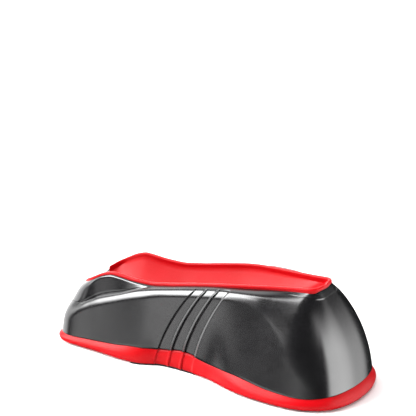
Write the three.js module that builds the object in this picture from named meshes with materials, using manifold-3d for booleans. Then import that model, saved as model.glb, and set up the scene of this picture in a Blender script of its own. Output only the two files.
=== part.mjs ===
// Riser block for the front wheel of a bicycle that stands on an indoor trainer.
// Millimetres, Z up. The domed end is at +X, the low end at -X, and the wheel stands in the plane
// y = 0. The origin is on the floor, under the middle of the block.
import * as THREE from 'three';
import { mergeVertices } from 'three/addons/utils/BufferGeometryUtils.js';
import Module from 'manifold-3d';

const wasm = await Module();
wasm.setup();

// Overall sizes
const blockLength = 330;
const blockWidth = 128;
const crownHeight = 105.6;

// Wheel that the block carries
const tyreRadius = 339;
const tyreWidth = 28;
const tyreSeatHeight = 39;
const axleSetback = 82.5;
const seatRoom = 0.9;
const tyreRoom = 0.5;

// Casing
const casingWall = 2.8;
const wallLean = 5;
const domeSoftness = 53;
const creaseSoftness = 0.8;
const bendClearance = 2;
const cheekRun = 4.8;
const rearCheekRun = 20.5;
const cheekSoftness = 1.5;
const rearCheekSoftness = 14;
const mouthTrim = 0.6;
const humpCornerRadius = 17.2;

// Flutes in the side wall
const fluteCount = 3;
const fluteDepth = 1.3;
const flutePitch = 14.3;
const fluteRidge = 1.6;
const fluteSweep = 37;
const fluteTop = 81;
const fluteTopStep = 3.7;
const fluteFadeRise = 0.4;

// Cradle
const cradleWidth = 63;
const cradleFrontWidth = 37;
const cradleThickness = 3.6;
const lipHeight = 2.6;
const frontLipHeight = 4.4;
const hipDepth = 2;
const shallowestBowl = 1.5;
const cradleCornerRadius = 10.6;
const cradleRearBow = 3;
const bowLength = 38;
const rearTaper = 9;
const rearTaperLength = 18;

// Band round the foot
const footHeight = 2;
const flareHeight = 5;
const bandFlare = 2.8;
const bandUndercut = 1.5;
const bandThickness = 2.2;
const flangeThickness = 4;
const flangeWidth = 13;

// Inner frame
const ribThickness = 2.4;
const ribRowCount = 5;
const frameRoom = 1;
const tubeDiameter = 14;
const tubeBore = 8.4;
const tubeLedge = 3;

// Fasteners, their bosses and studs
const screwDiameter = 3.4;
const screwHeadDiameter = 7.2;
const screwHeadHeight = 2.4;
const screwEdge = 0.5;
const recessDepth = 1.4;
const recessLength = 4.2;
const recessWidth = 1.1;
const bandScrewLength = 16;
const cradleScrewLength = 11;
const bossDiameter = 9;
const bossHeight = 22;
const bossInset = 7.5;
const studDiameter = 9;
const studLength = 8;
const cradleScrewCount = 4;

// Feet
const footWidth = 7;
const footSeat = 1;
const footChamfer = 0.5;
const waistFootInset = 0.6;
const hiddenFootInset = 4;

// Fits
const gap = 0.3;
const holeRoom = 0.4;
const overrun = 20;

// Smoothness of curved faces, in steps
const wallStepsPerSpan = 3;
const innerStepsPerSpan = 2;
const frameStepsPerSpan = 1;
const outerSteps = { shoulder: 7, crease: 2, cheek: 3 };
const innerSteps = { shoulder: 3, crease: 1, cheek: 1 };
const frameSteps = { shoulder: 2, crease: 1, cheek: 1 };
const fluteSteps = 10;
const bowlSteps = 7;
const channelSteps = 20;
const cornerSteps = 4;
const tyreArcSteps = 12;
const tyreRoundSteps = 24;
const lipSteps = 56;
const roundSegments = 12;
const screwSegments = 12;
const weldDistance = 1e-4;
const simplifyDistance = 0.05;

// Shapes of curved faces, as shares or powers
const creaseShareOfLedge = 0.85;
const ledgeShareOfBend = 0.88;
const longestLedgeShare = 0.9;
const sideBulgeShares = [0.72, 0.985];
const rearBulgeShares = [0.5, 0.85];
const longestCreaseShare = 0.3;
const longestCheekShare = 0.6;
const fluteFadeShares = [0.3, 0.9];
const flutePower = 1.65;
const bowlPower = 2.2;
const tyreNotchShare = 0.6;

// Half outline of the casing's foot, from the low end to the domed end, as shares of the half
// length and half width inside the band's flare
const footOutlineShares = [
  [-1, 0], [-0.992, 0.49], [-0.964, 0.716], [-0.909, 0.812], [-0.694, 0.845], [-0.435, 0.899],
  [-0.336, 0.866], [-0.237, 0.739], [-0.077, 0.717], [0.108, 0.768], [0.281, 0.915], [0.447, 1],
  [0.694, 1], [0.798, 0.931], [0.928, 0.696], [0.986, 0.343], [1, 0],
];

// Where the feet and the band screws sit along that outline, as shares of the way round it
const rearFootShares = [0.031, 0.213];
const waistFootShares = [0.331, 0.531];
const frontFootShares = [0.638, 0.844];
const bandScrewShares = [0.266, 0.594, 0.891];
const footSeatEndShare = 0.002;

// Places along the block, as shares of the half length
const humpRearShare = -0.8103;
const cradleRearShare = -0.864;
const fluteStartShare = -0.2515;
const narrowStartShare = 0.0909;
const narrowEndShare = 0.7152;
const cradleFrontShare = 0.7285;
const ribPitchShare = 0.339;

// Curves along the block: a place as a share of the half length, then the value there as a share
// of the crown height, wall lean, dome softness or band flare
const lipTopShares = [
  [-0.921, 0.462], [-0.894, 0.515], [-0.876, 0.567], [-0.815, 0.612], [-0.767, 0.653],
  [-0.658, 0.742], [-0.603, 0.763], [-0.548, 0.759], [-0.452, 0.749], [-0.355, 0.75],
  [-0.233, 0.78], [-0.039, 0.845], [0.155, 0.903], [0.348, 0.94], [0.542, 0.972], [0.72, 1],
];
const cheekDropShares = [
  [-0.833, 0.22], [-0.785, 0.22], [-0.74, 0.195], [-0.712, 0.178], [-0.636, 0.175],
  [-0.542, 0.129], [-0.452, 0.065], [-0.361, 0.019], [-0.285, 0],
];
const shoulderShares = [
  [-1, 0.302], [-0.9, 0.322], [-0.798, 0.431], [-0.644, 0.536], [-0.533, 0.606], [-0.422, 0.67],
  [-0.28, 0.727], [-0.132, 0.772], [-0.022, 0.805], [0.132, 0.847], [0.262, 0.852], [0.5, 0.775],
  [0.7, 0.705], [1, 0.514],
];
const leanShares = [
  [-1, 0.84], [-0.798, 0.9], [-0.422, 1.3], [-0.28, 0.7], [-0.132, 0.45], [-0.022, 0.6],
  [0.132, 1], [0.7, 0.75], [1, 1.25],
];
const softnessShares = [
  [-1, 0.27], [-0.94, 0.22], [-0.86, 0.16], [-0.28, 0.15], [-0.022, 0.153], [0.132, 0.212],
  [0.262, 0.34], [0.7, 0.929], [1, 0.973],
];
const bandTopShares = [
  [-1, 0.085], [-0.9, 0.088], [-0.724, 0.104], [-0.539, 0.131], [-0.367, 0.164], [-0.227, 0.163],
  [-0.07, 0.197], [0.118, 0.159], [0.318, 0.163], [0.56, 0.127], [0.785, 0.114], [0.955, 0.142],
  [1, 0.156],
];
const flareShares = [[-1, 1], [-0.6, 0.9], [-0.3, 0.5], [0, 0.45], [0.35, 0.8], [0.7, 1]];
const lipGrowthShares = [[0.1, 0], [0.6, 0.6], [0.75, 1]];

const halfLength = blockLength / 2;
const halfWidth = blockWidth / 2;
const humpRearX = halfLength * humpRearShare;
const cradleRearX = halfLength * cradleRearShare;
const cradleFrontX = halfLength * cradleFrontShare;
const ribPitch = halfLength * ribPitchShare;
const axleHeight = tyreSeatHeight + tyreRadius;
const cradleCornerX = cradleFrontX - cradleCornerRadius;
const flangeTop = footHeight + flangeThickness;
const skirtFoot = flangeTop + gap;
const outlineSpans = footOutlineShares.length - 1;

// Value of a curve given as [place, value] pairs, smooth and without overshoot
function along(pairs, place) {
  const last = pairs.length - 1;
  if (place <= pairs[0][0]) return pairs[0][1];
  if (place >= pairs[last][0]) return pairs[last][1];
  const slope = (k) => (pairs[k + 1][1] - pairs[k][1]) / (pairs[k + 1][0] - pairs[k][0]);
  const tangent = (k) => {
    if (k === 0) return slope(0);
    if (k === last) return slope(last - 1);
    const before = slope(k - 1);
    const after = slope(k);
    return before * after <= 0 ? 0 : (2 * before * after) / (before + after);
  };
  const i = pairs.findIndex((pair) => pair[0] > place) - 1;
  const span = pairs[i + 1][0] - pairs[i][0];
  const t = (place - pairs[i][0]) / span;
  const base = THREE.MathUtils.lerp(pairs[i][1], pairs[i + 1][1], t * t * (3 - 2 * t));
  return base + t * (1 - t) * span * (tangent(i) * (1 - t) - tangent(i + 1) * t);
}

const lipTop = (x) => crownHeight * along(lipTopShares, x / halfLength);
const bandTop = (x) => crownHeight * along(bandTopShares, x / halfLength);

// Half width of the cradle, which narrows towards the domed end
function cradleSide(x) {
  const narrowing = THREE.MathUtils.smoothstep(x / halfLength, narrowStartShare, narrowEndShare);
  return THREE.MathUtils.lerp(cradleWidth, cradleFrontWidth, narrowing) / 2;
}

function lipAt(x) {
  return THREE.MathUtils.lerp(lipHeight, frontLipHeight, along(lipGrowthShares, x / halfLength));
}

// Underside of the tyre at a place along the block
function tyreUnderside(x) {
  return axleHeight - Math.sqrt(tyreRadius ** 2 - (x + axleSetback) ** 2);
}

function solidFrom(points, faces) {
  const volume = faces.reduce((sum, [a, b, c]) => {
    const cross = new THREE.Vector3().crossVectors(points[b], points[c]);
    return sum + points[a].dot(cross);
  }, 0);
  const outward = volume > 0 ? faces : faces.map(([a, b, c]) => [a, c, b]);
  return new wasm.Manifold(new wasm.Mesh({
    numProp: 3,
    vertProperties: new Float32Array(points.flatMap((p) => [p.x, p.y, p.z])),
    triVerts: new Uint32Array(outward.flat()),
  }));
}

// Closed solid from rings of points with one count. Each end is closed from side to side, unless
// the rings themselves close into a loop.
function skin(rings, looped = false) {
  const count = rings[0].length;
  const faces = [];
  const quad = (a, b, c, d) => faces.push([a, b, c], [a, c, d]);
  const bands = looped ? rings.length : rings.length - 1;
  for (let r = 0; r < bands; r += 1) {
    const here = r * count;
    const next = ((r + 1) % rings.length) * count;
    for (let i = 0; i < count; i += 1) {
      const j = (i + 1) % count;
      quad(here + i, here + j, next + j, next + i);
    }
  }
  const close = (start, flip) => {
    const across = (k) => start + ((count - k) % count);
    for (let i = 0; i < count / 2; i += 1) {
      const corners = [start + i, start + i + 1, across(i + 1), across(i)];
      quad(...(flip ? corners : corners.reverse()));
    }
  };
  if (!looped) {
    close(0, false);
    close((rings.length - 1) * count, true);
  }
  const real = faces.filter(([a, b, c]) => a !== b && b !== c && a !== c);
  return solidFrom(rings.flat(), real);
}

// Solid from a closed three.js geometry
function solidOf(geometry) {
  geometry.deleteAttribute('normal');
  geometry.deleteAttribute('uv');
  const merged = mergeVertices(geometry, weldDistance);
  return new wasm.Manifold(new wasm.Mesh({
    numProp: 3,
    vertProperties: new Float32Array(merged.attributes.position.array),
    triVerts: new Uint32Array(merged.index.array),
  }));
}

function joined(solids) {
  return solids.reduce((whole, solid) => whole.add(solid));
}

// Ring of points from its near half, which starts and ends on the wheel's plane
function mirrored(near) {
  const far = near.slice(1, -1).reverse().map((p) => new THREE.Vector3(p.x, -p.y, p.z));
  return [...near, ...far];
}

function upright(diameter, bottom, top, x, y) {
  const radius = diameter / 2;
  const geometry = new THREE.CylinderGeometry(radius, radius, top - bottom, roundSegments);
  geometry.rotateX(Math.PI / 2);
  geometry.translate(x, y, (bottom + top) / 2);
  return solidOf(geometry);
}

function box(sizeX, sizeY, bottom, top, x, y) {
  const geometry = new THREE.BoxGeometry(sizeX, sizeY, top - bottom);
  geometry.translate(x, y, (bottom + top) / 2);
  return solidOf(geometry);
}

// Prism across the whole block from an outline in side view
function acrossBlock(outline) {
  const width = blockWidth + overrun;
  const geometry = new THREE.ExtrudeGeometry(new THREE.Shape(outline), { depth: width, bevelEnabled: false });
  geometry.rotateX(Math.PI / 2);
  geometry.translate(0, width / 2, 0);
  return solidOf(geometry);
}

// Columns stand on the foot outline and lean towards the mouth in which the cradle lies
const footOutline = new THREE.CatmullRomCurve3(
  mirrored(footOutlineShares.map(([x, y]) => new THREE.Vector3(
    x * (halfLength - bandFlare),
    -y * (halfWidth - bandFlare),
    0,
  ))),
  true,
  'centripetal',
);

function columnAt(span) {
  const foot = footOutline.getPoint(span / (2 * outlineSpans));
  if (span === 0 || span === outlineSpans) foot.y = 0;
  const mouth = mouthPoint(foot);
  const reach = mouth.distanceTo(foot);
  const share = foot.x / (halfLength - bandFlare);
  const lean = wallLean * along(leanShares, share);
  const shoulder = crownHeight * along(shoulderShares, share);
  const intoHump = humpRearX + humpCornerRadius - mouth.x;
  const rearness = THREE.MathUtils.smoothstep(intoHump, 0, humpCornerRadius);
  const run = THREE.MathUtils.lerp(cheekRun, rearCheekRun, rearness);
  const seam = lipTop(mouth.x) - lipAt(mouth.x);
  const straightDrop = (run * (seam - shoulder)) / (reach - lean);
  const drop = Math.max(crownHeight * along(cheekDropShares, mouth.x / halfLength), straightDrop);
  const bulge = sideBulgeShares.map((side, i) => (
    THREE.MathUtils.lerp(side, rearBulgeShares[i], rearness)
  ));
  const edge = seam + (mouthTrim * drop * (1 - bulge[1])) / (run * (1 - bulge[0]));
  return {
    foot,
    inward: mouth.sub(foot).normalize(),
    reach,
    lean,
    shoulder,
    run,
    edge,
    crease: edge - drop,
    bulge,
    cheekSoftness: THREE.MathUtils.lerp(cheekSoftness, rearCheekSoftness, rearness),
    softness: domeSoftness * along(softnessShares, share),
    flare: bandFlare * along(flareShares, share),
  };
}

// Point of the mouth that a column leans to: straight across along the sides, and fanned out
// round the corners
function mouthPoint(foot) {
  const radius = foot.x < 0 ? humpCornerRadius : cradleCornerRadius;
  const rearCore = humpRearX + radius;
  const frontCore = cradleFrontX + gap - mouthTrim - radius;
  const coreX = THREE.MathUtils.clamp(foot.x, rearCore, frontCore);
  const side = cradleSide(coreX) + gap - mouthTrim;
  if (coreX > rearCore && coreX < frontCore) return new THREE.Vector3(coreX, -side, 0);
  const core = new THREE.Vector3(coreX, Math.max(foot.y, radius - side), 0);
  return foot.clone().sub(core).setLength(radius).add(core);
}

function columnsFor(stepsPerSpan, firstSpan = 0, lastSpan = outlineSpans) {
  const steps = Math.round((lastSpan - firstSpan) * stepsPerSpan);
  return Array.from({ length: steps + 1 }, (_, i) => (
    columnAt(THREE.MathUtils.lerp(firstSpan, lastSpan, i / steps))
  ));
}

function onColumn(column, { x: inset, y: height }) {
  const point = column.foot.clone().addScaledVector(column.inward, inset);
  point.z = height;
  return point;
}

// Solid whose section on each column is a list of Vector2 of inset and height
function columnSolid(columns, profileOf, looped = false) {
  const profiles = columns.map(profileOf);
  const rings = profiles[0].map((_, level) => (
    mirrored(columns.map((column, i) => onColumn(column, profiles[i][level])))
  ));
  return skin(rings, looped);
}

// Inset of the wall's face at a height below the shoulder
function wallInset(column, height) {
  return (column.lean * height) / column.shoulder;
}

function bend(from, corner, to, steps) {
  return new THREE.QuadraticBezierCurve(from, corner, to).getPoints(steps);
}

// Profile from the wall over the shoulder, along the ledge and up the cheek to the mouth
function upperProfile(column, depth, steps) {
  const at = (inset, height) => new THREE.Vector2(inset + depth, height - depth);
  const foot = at(0, 0);
  const corner = at(column.lean, column.shoulder);
  const crease = at(column.reach - column.run, column.crease);
  const mouth = at(column.reach, column.edge);
  const wallWay = foot.clone().sub(corner);
  const ledgeWay = crease.clone().sub(corner);
  const ledgeLength = ledgeWay.length();
  const freeWall = 1 - (bandTop(column.foot.x) + bendClearance) / column.shoulder;
  const onWall = Math.min(column.softness, wallWay.length() * freeWall);
  const onLedge = Math.min(column.softness * ledgeShareOfBend, ledgeLength * longestLedgeShare);
  const creaseReach = Math.min(creaseSoftness, (ledgeLength - onLedge) * creaseShareOfLedge);
  const bendStart = corner.clone().addScaledVector(wallWay.normalize(), onWall);
  const bendEnd = corner.clone().addScaledVector(ledgeWay.normalize(), onLedge);
  const creaseStart = crease.clone().addScaledVector(ledgeWay, -creaseReach);
  const cheekWay = mouth.clone().sub(crease);
  const cheekTop = crease.clone();
  cheekTop.x += cheekWay.x * column.bulge[0];
  cheekTop.y += cheekWay.y * column.bulge[1];
  const faceLength = cheekTop.distanceTo(crease);
  const creaseEndShare = Math.min(creaseSoftness / faceLength, longestCreaseShare);
  const creaseEnd = crease.clone().lerp(cheekTop, creaseEndShare);
  const cheekShare = Math.min(column.cheekSoftness / faceLength, longestCheekShare);
  const cheekStart = cheekTop.clone().lerp(crease, cheekShare);
  return [
    ...bend(bendStart, corner, bendEnd, steps.shoulder),
    ...bend(creaseStart, crease, creaseEnd, steps.crease),
    ...bend(cheekStart, cheekTop, mouth, steps.cheek),
  ];
}

// Outside of the band on a column, from its underside to its top edge
function bandFace(column, inset) {
  const top = bandTop(column.foot.x);
  const flareEnd = wallInset(column, flareHeight) - column.flare;
  const undercut = bandUndercut * (column.flare / bandFlare);
  const at = (x, y) => new THREE.Vector2(x + inset, y);
  const topEdge = at(wallInset(column, top), top);
  const swell = at(flareEnd, (top + flareHeight) / 2);
  return [
    at(flareEnd + undercut, footHeight),
    at(flareEnd, flareHeight),
    ...bend(at(flareEnd, flareHeight), swell, topEdge, outerSteps.cheek).slice(1),
  ];
}

// The cradle and the room for it in the casing are one bowl-shaped form at different sizes.
// Growth moves its sides, floor and ends outwards from the cradle's outside.
function bowlAlongWheel(growth, rearRun = 0) {
  const pastEnd = rearRun > 0 ? [cradleRearX - rearRun] : [];
  const stations = Array.from({ length: channelSteps }, (_, i) => (
    THREE.MathUtils.lerp(cradleRearX, cradleCornerX, i / channelSteps)
  ));
  const straight = [...pastEnd, ...stations].map((x) => ({
    x,
    half: cradleSide(x) + growth - rearTaperAt(x),
  }));
  const radius = cradleCornerRadius + growth;
  const corner = Array.from({ length: cornerSteps + 1 }, (_, i) => {
    const turn = (Math.PI * i) / (2 * cornerSteps);
    return {
      x: cradleCornerX + radius * Math.sin(turn),
      half: cradleSide(cradleCornerX) + growth - radius * (1 - Math.cos(turn)),
    };
  });
  return skin([...straight, ...corner].map((station) => bowlRing(station, growth)));
}

// The low end of the cradle closes in and is bowed in plan
function rearTaperAt(x) {
  const into = THREE.MathUtils.clamp((cradleRearX + rearTaperLength - x) / rearTaperLength, 0, 1);
  return rearTaper * into ** 2;
}

function rearBow(x, out) {
  const near = THREE.MathUtils.clamp(1 - (x - cradleRearX) / bowLength, 0, 1);
  return cradleRearBow * near * out ** 2;
}

function bowlRing({ x, half }, growth) {
  const near = Array.from({ length: bowlSteps + 1 }, (_, i) => {
    const out = i / bowlSteps;
    const place = x + rearBow(x, out);
    const floor = tyreUnderside(place) - seatRoom - cradleThickness - growth;
    const hip = lipTop(place) - lipAt(place) - hipDepth;
    const rise = Math.max(hip - floor, shallowestBowl);
    return new THREE.Vector3(place, -out * half, floor + rise * out ** bowlPower);
  });
  const height = crownHeight + overrun;
  near.push(new THREE.Vector3(x + rearBow(x, 1), -half, height));
  near.push(new THREE.Vector3(x, 0, height));
  return mirrored(near);
}

// Room for the tyre where it leaves the channel over the domed end
function tyreNotch() {
  const radius = tyreWidth / 2;
  const firstAngle = Math.asin((halfLength * tyreNotchShare + axleSetback) / tyreRadius);
  const lastAngle = Math.asin((halfLength + axleSetback) / tyreRadius);
  const rings = Array.from({ length: tyreArcSteps + 1 }, (_, i) => {
    const angle = THREE.MathUtils.lerp(firstAngle, lastAngle, i / tyreArcSteps);
    return Array.from({ length: tyreRoundSteps }, (_unused, j) => {
      const turn = (2 * Math.PI * j) / tyreRoundSteps;
      const fromAxle = tyreRadius - radius + (radius + tyreRoom) * Math.cos(turn);
      return new THREE.Vector3(
        fromAxle * Math.sin(angle) - axleSetback,
        -(radius + tyreRoom) * Math.sin(turn),
        axleHeight - fromAxle * Math.cos(angle),
      );
    });
  });
  return skin(rings);
}

// Flutes: strips between swept lines, as deep as the space outside an inset copy of the body.
// The copy swells past the body near the shoulder, so that the flutes fade out there.
function fluteCutters(columns) {
  const heights = Array.from({ length: fluteSteps + 1 }, (_, i) => (
    THREE.MathUtils.lerp(-overrun, crownHeight, i / fluteSteps)
  ));
  const lineAt = (line, height) => {
    const climb = Math.max(0, height) / (fluteTop + line * fluteTopStep);
    return halfLength * fluteStartShare + line * flutePitch + fluteSweep * climb ** flutePower;
  };
  const edge = (line, side) => heights.map((z) => (
    new THREE.Vector2(lineAt(line, z) + (side * fluteRidge) / 2, z)
  ));
  const strips = Array.from({ length: fluteCount }, (_, line) => (
    acrossBlock([...edge(line + 1, -1), ...edge(line, 1).reverse()])
  ));
  const insetBody = columnSolid(columns, (column) => {
    const deep = upperProfile(column, fluteDepth, innerSteps);
    const proud = upperProfile(column, -fluteFadeRise, innerSteps);
    const fading = deep.map((point, i) => (
      point.lerp(proud[i], THREE.MathUtils.smoothstep(i / (deep.length - 1), ...fluteFadeShares))
    ));
    const foot = bandFace(column, fluteDepth);
    foot[0].y = -overrun;
    return [...foot, ...fading];
  });
  return joined(strips).subtract(insetBody);
}

// Half-width strip under the flange, between two insets and along part of the outline
function footStrip([firstShare, lastShare], inset, growth) {
  const top = footHeight + footSeat - gap + growth;
  const bottom = growth > 0 ? -overrun : 0;
  const ends = growth > 0 ? footSeatEndShare : 0;
  const firstSpan = outlineSpans * (firstShare - ends);
  const lastSpan = outlineSpans * (lastShare + ends);
  const columns = columnsFor(wallStepsPerSpan, firstSpan, lastSpan);
  return skin(columns.map((column) => {
    const start = wallInset(column, footHeight) - column.flare + bandUndercut + inset - growth;
    const end = start + footWidth + 2 * growth;
    return [
      [start, top], [end, top], [end, bottom + footChamfer], [end - footChamfer, bottom],
      [start + footChamfer, bottom], [start, bottom + footChamfer],
    ].map(([x, y]) => onColumn(column, new THREE.Vector2(x, y)));
  }));
}

const sides = [['near', 1], ['far', -1]];
const acrossWheel = (solid, side) => (side > 0 ? solid : solid.mirror([0, 1, 0]));

const footPlaces = [
  ['rear', rearFootShares, hiddenFootInset],
  ['waist', waistFootShares, waistFootInset],
  ['front', frontFootShares, hiddenFootInset],
];

const feet = sides.flatMap(([sideName, side]) => footPlaces.map(([name, shares, inset]) => ({
  name: `foot_${name}_${sideName}`,
  solid: acrossWheel(footStrip(shares, inset, 0), side),
  seat: acrossWheel(footStrip(shares, inset, gap), side),
})));

const bandScrewPlaces = sides.flatMap(([, side]) => bandScrewShares.map((share) => {
  const place = onColumn(columnAt(outlineSpans * share), new THREE.Vector2(bossInset, 0));
  return [place.x, side * place.y];
}));

// Rows of the frame's ribs across the block. The cradle's screws stand on the rows from the low end.
const ribRows = Array.from({ length: ribRowCount }, (_, i) => ribPitch * (i - (ribRowCount - 1) / 2));

const cradleScrewPlaces = ribRows.slice(0, cradleScrewCount).map((x) => {
  const studBottom = tyreUnderside(x) - seatRoom - cradleThickness - studLength;
  return { x, studBottom, ledgeTop: studBottom - gap, ledgeBottom: studBottom - gap - tubeLedge };
});

const outerColumns = columnsFor(wallStepsPerSpan);
const innerColumns = columnsFor(innerStepsPerSpan);
const flutes = fluteCutters(innerColumns);

// Screw that points up, with its head's bearing face at the height given
function makeScrew(length, x, y, bearing) {
  const radius = screwDiameter / 2;
  const headRadius = screwHeadDiameter / 2;
  const profile = [
    [0, -screwHeadHeight],
    [headRadius - screwEdge, -screwHeadHeight],
    [headRadius, screwEdge - screwHeadHeight],
    [headRadius, 0],
    [radius, 0],
    [radius, length - radius],
    [0, length],
  ].map(([r, z]) => new THREE.Vector2(r, z));
  const geometry = new THREE.LatheGeometry(profile, screwSegments);
  geometry.rotateX(Math.PI / 2);
  const recessTop = recessDepth - screwHeadHeight;
  return solidOf(geometry)
    .subtract(box(recessLength, recessWidth, -screwHeadHeight - gap, recessTop, 0, 0))
    .subtract(box(recessWidth, recessLength, -screwHeadHeight - gap, recessTop, 0, 0))
    .translate([x, y, bearing]);
}

// Casing: a moulded shell with a trough for the cradle and a rebate behind the band
function makeCasing() {
  const skirtInset = bandThickness + gap;
  const outside = columnSolid(outerColumns, (column) => {
    const step = bandTop(column.foot.x) + gap;
    return [
      new THREE.Vector2(wallInset(column, skirtFoot) + skirtInset, skirtFoot),
      new THREE.Vector2(wallInset(column, step) + skirtInset, step),
      new THREE.Vector2(wallInset(column, step), step),
      ...upperProfile(column, 0, outerSteps),
    ];
  });
  const cavity = columnSolid(innerColumns, (column) => {
    const inset = wallInset(column, skirtFoot) + skirtInset + casingWall;
    return [
      new THREE.Vector2(inset, -overrun),
      new THREE.Vector2(inset, skirtFoot),
      ...upperProfile(column, casingWall, innerSteps),
    ];
  });
  const bosses = bandScrewPlaces.map(([x, y]) => (
    upright(bossDiameter, skirtFoot, skirtFoot + bossHeight, x, y)
  ));
  const hollow = cavity.subtract(joined([bowlAlongWheel(gap + casingWall, overrun), ...bosses]));
  const pilots = bandScrewPlaces.map(([x, y]) => (
    upright(screwDiameter + 2 * gap, 0, skirtFoot + bandScrewLength, x, y)
  ));
  const studHoles = cradleScrewPlaces.map(({ x, studBottom }) => (
    upright(studDiameter + 2 * gap, studBottom - overrun, studBottom + overrun, x, 0)
  ));
  return outside
    .subtract(hollow)
    .subtract(bowlAlongWheel(gap, overrun))
    .subtract(flutes)
    .subtract(joined([...pilots, ...studHoles]));
}

// Cradle: a bowl-shaped liner whose lip follows its own curve above the casing, with screw studs
function makeCradle() {
  const startX = -halfLength;
  const lip = Array.from({ length: lipSteps + 1 }, (_, i) => {
    const x = THREE.MathUtils.lerp(startX, cradleFrontX + overrun, i / lipSteps);
    return new THREE.Vector2(x, lipTop(x));
  });
  const below = acrossBlock([
    ...lip,
    new THREE.Vector2(cradleFrontX + overrun, -overrun),
    new THREE.Vector2(startX, -overrun),
  ]);
  const studs = cradleScrewPlaces.map(({ x, studBottom }) => (
    upright(studDiameter, studBottom, studBottom + studLength + cradleThickness, x, 0)
  ));
  const pilots = cradleScrewPlaces.map(({ x, studBottom }) => (
    upright(screwDiameter + 2 * gap, 0, studBottom + studLength, x, 0)
  ));
  return bowlAlongWheel(0)
    .intersect(below)
    .add(joined(studs))
    .subtract(bowlAlongWheel(-cradleThickness, overrun))
    .subtract(tyreNotch())
    .subtract(joined(pilots));
}

// Band: a flared ring round the casing's foot with a flange turned in under it
function makeBand() {
  const ring = columnSolid(outerColumns, (column) => {
    const top = bandTop(column.foot.x);
    return [
      ...bandFace(column, 0),
      new THREE.Vector2(wallInset(column, top) + bandThickness, top),
      new THREE.Vector2(wallInset(column, flangeTop) + bandThickness, flangeTop),
      new THREE.Vector2(flangeWidth, flangeTop),
      new THREE.Vector2(flangeWidth, footHeight),
    ];
  }, true);
  const holes = bandScrewPlaces.flatMap(([x, y]) => [
    upright(screwDiameter + holeRoom, 0, flangeTop + gap, x, y),
    upright(screwHeadDiameter + holeRoom, 0, footHeight + screwHeadHeight + gap, x, y),
  ]);
  return ring
    .subtract(flutes)
    .subtract(joined([...holes, ...feet.map((foot) => foot.seat)]));
}

// Frame: crossed ribs that fill the casing and carry the trough, with a tube round each stud
function makeFrame() {
  const depth = casingWall + frameRoom;
  const skirtInset = bandThickness + gap + depth;
  const space = columnSolid(columnsFor(frameStepsPerSpan), (column) => [
    new THREE.Vector2(wallInset(column, skirtFoot) + skirtInset, skirtFoot),
    ...upperProfile(column, depth, frameSteps),
  ]).subtract(bowlAlongWheel(gap + casingWall + gap, overrun));
  const acrossRibs = ribRows.map((x) => box(ribThickness, blockWidth, 0, crownHeight, x, 0));
  const keelRib = box(blockLength, ribThickness, 0, crownHeight, 0, 0);
  const tubes = cradleScrewPlaces.map(({ x }) => upright(tubeDiameter, 0, crownHeight, x, 0));
  const bores = cradleScrewPlaces.flatMap(({ x, ledgeTop, ledgeBottom }) => [
    upright(tubeBore, -overrun, ledgeBottom, x, 0),
    upright(screwDiameter + holeRoom, 0, crownHeight, x, 0),
    upright(studDiameter + 2 * gap, ledgeTop, crownHeight, x, 0),
  ]);
  const bossRooms = bandScrewPlaces.map(([x, y]) => (
    upright(bossDiameter + 2 * frameRoom, 0, skirtFoot + bossHeight + frameRoom, x, y)
  ));
  return joined([...acrossRibs, keelRib, ...tubes])
    .intersect(space)
    .subtract(joined([...bores, ...bossRooms]));
}

const darkPlastic = { color: 0x2c2f33, roughness: 0.45, metalness: 0 };
const redPlastic = { color: 0xd8141f, roughness: 0.5, metalness: 0 };
const footRubber = { color: 0x1a1a1a, roughness: 0.85, metalness: 0 };
const plainPlastic = { color: 0x222222, roughness: 0.6, metalness: 0 };
const screwSteel = { color: 0x9a9da0, roughness: 0.35, metalness: 1 };

const riser = new THREE.Group();
riser.name = 'front_wheel_riser_block';

function addPart(name, solid, look) {
  const { vertProperties, triVerts } = solid.simplify(simplifyDistance).getMesh();
  const geometry = new THREE.BufferGeometry();
  geometry.setAttribute('position', new THREE.BufferAttribute(vertProperties, 3));
  geometry.setIndex(new THREE.BufferAttribute(triVerts, 1));
  geometry.computeVertexNormals();
  const mesh = new THREE.Mesh(geometry, new THREE.MeshStandardMaterial(look));
  mesh.name = name;
  riser.add(mesh);
}

addPart('outer_casing', makeCasing(), darkPlastic);
addPart('wheel_cradle', makeCradle(), redPlastic);
addPart('base_band', makeBand(), redPlastic);
addPart('support_frame', makeFrame(), plainPlastic);

cradleScrewPlaces.forEach(({ x, ledgeBottom }, i) => {
  const screw = makeScrew(cradleScrewLength, x, 0, ledgeBottom - gap);
  addPart(`cradle_screw_${i + 1}`, screw, screwSteel);
});

bandScrewPlaces.forEach(([x, y], i) => {
  const screw = makeScrew(bandScrewLength, x, y, footHeight + screwHeadHeight);
  addPart(`band_screw_${i + 1}`, screw, screwSteel);
});

feet.forEach(({ name, solid }) => addPart(name, solid, footRubber));

export default riser;
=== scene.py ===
"""Looks of the riser block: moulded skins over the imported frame, materials, floor, light, camera.

The tables and helpers use millimetres in the row frame. Meshes are made in metres. A skin stands on
columns round the near half of the block's foot. Each column has a profile of (inset, height) pairs,
where the inset runs from the foot's outline towards the wheel channel, and the far half mirrors it.
"""
import math
from collections import namedtuple

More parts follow.
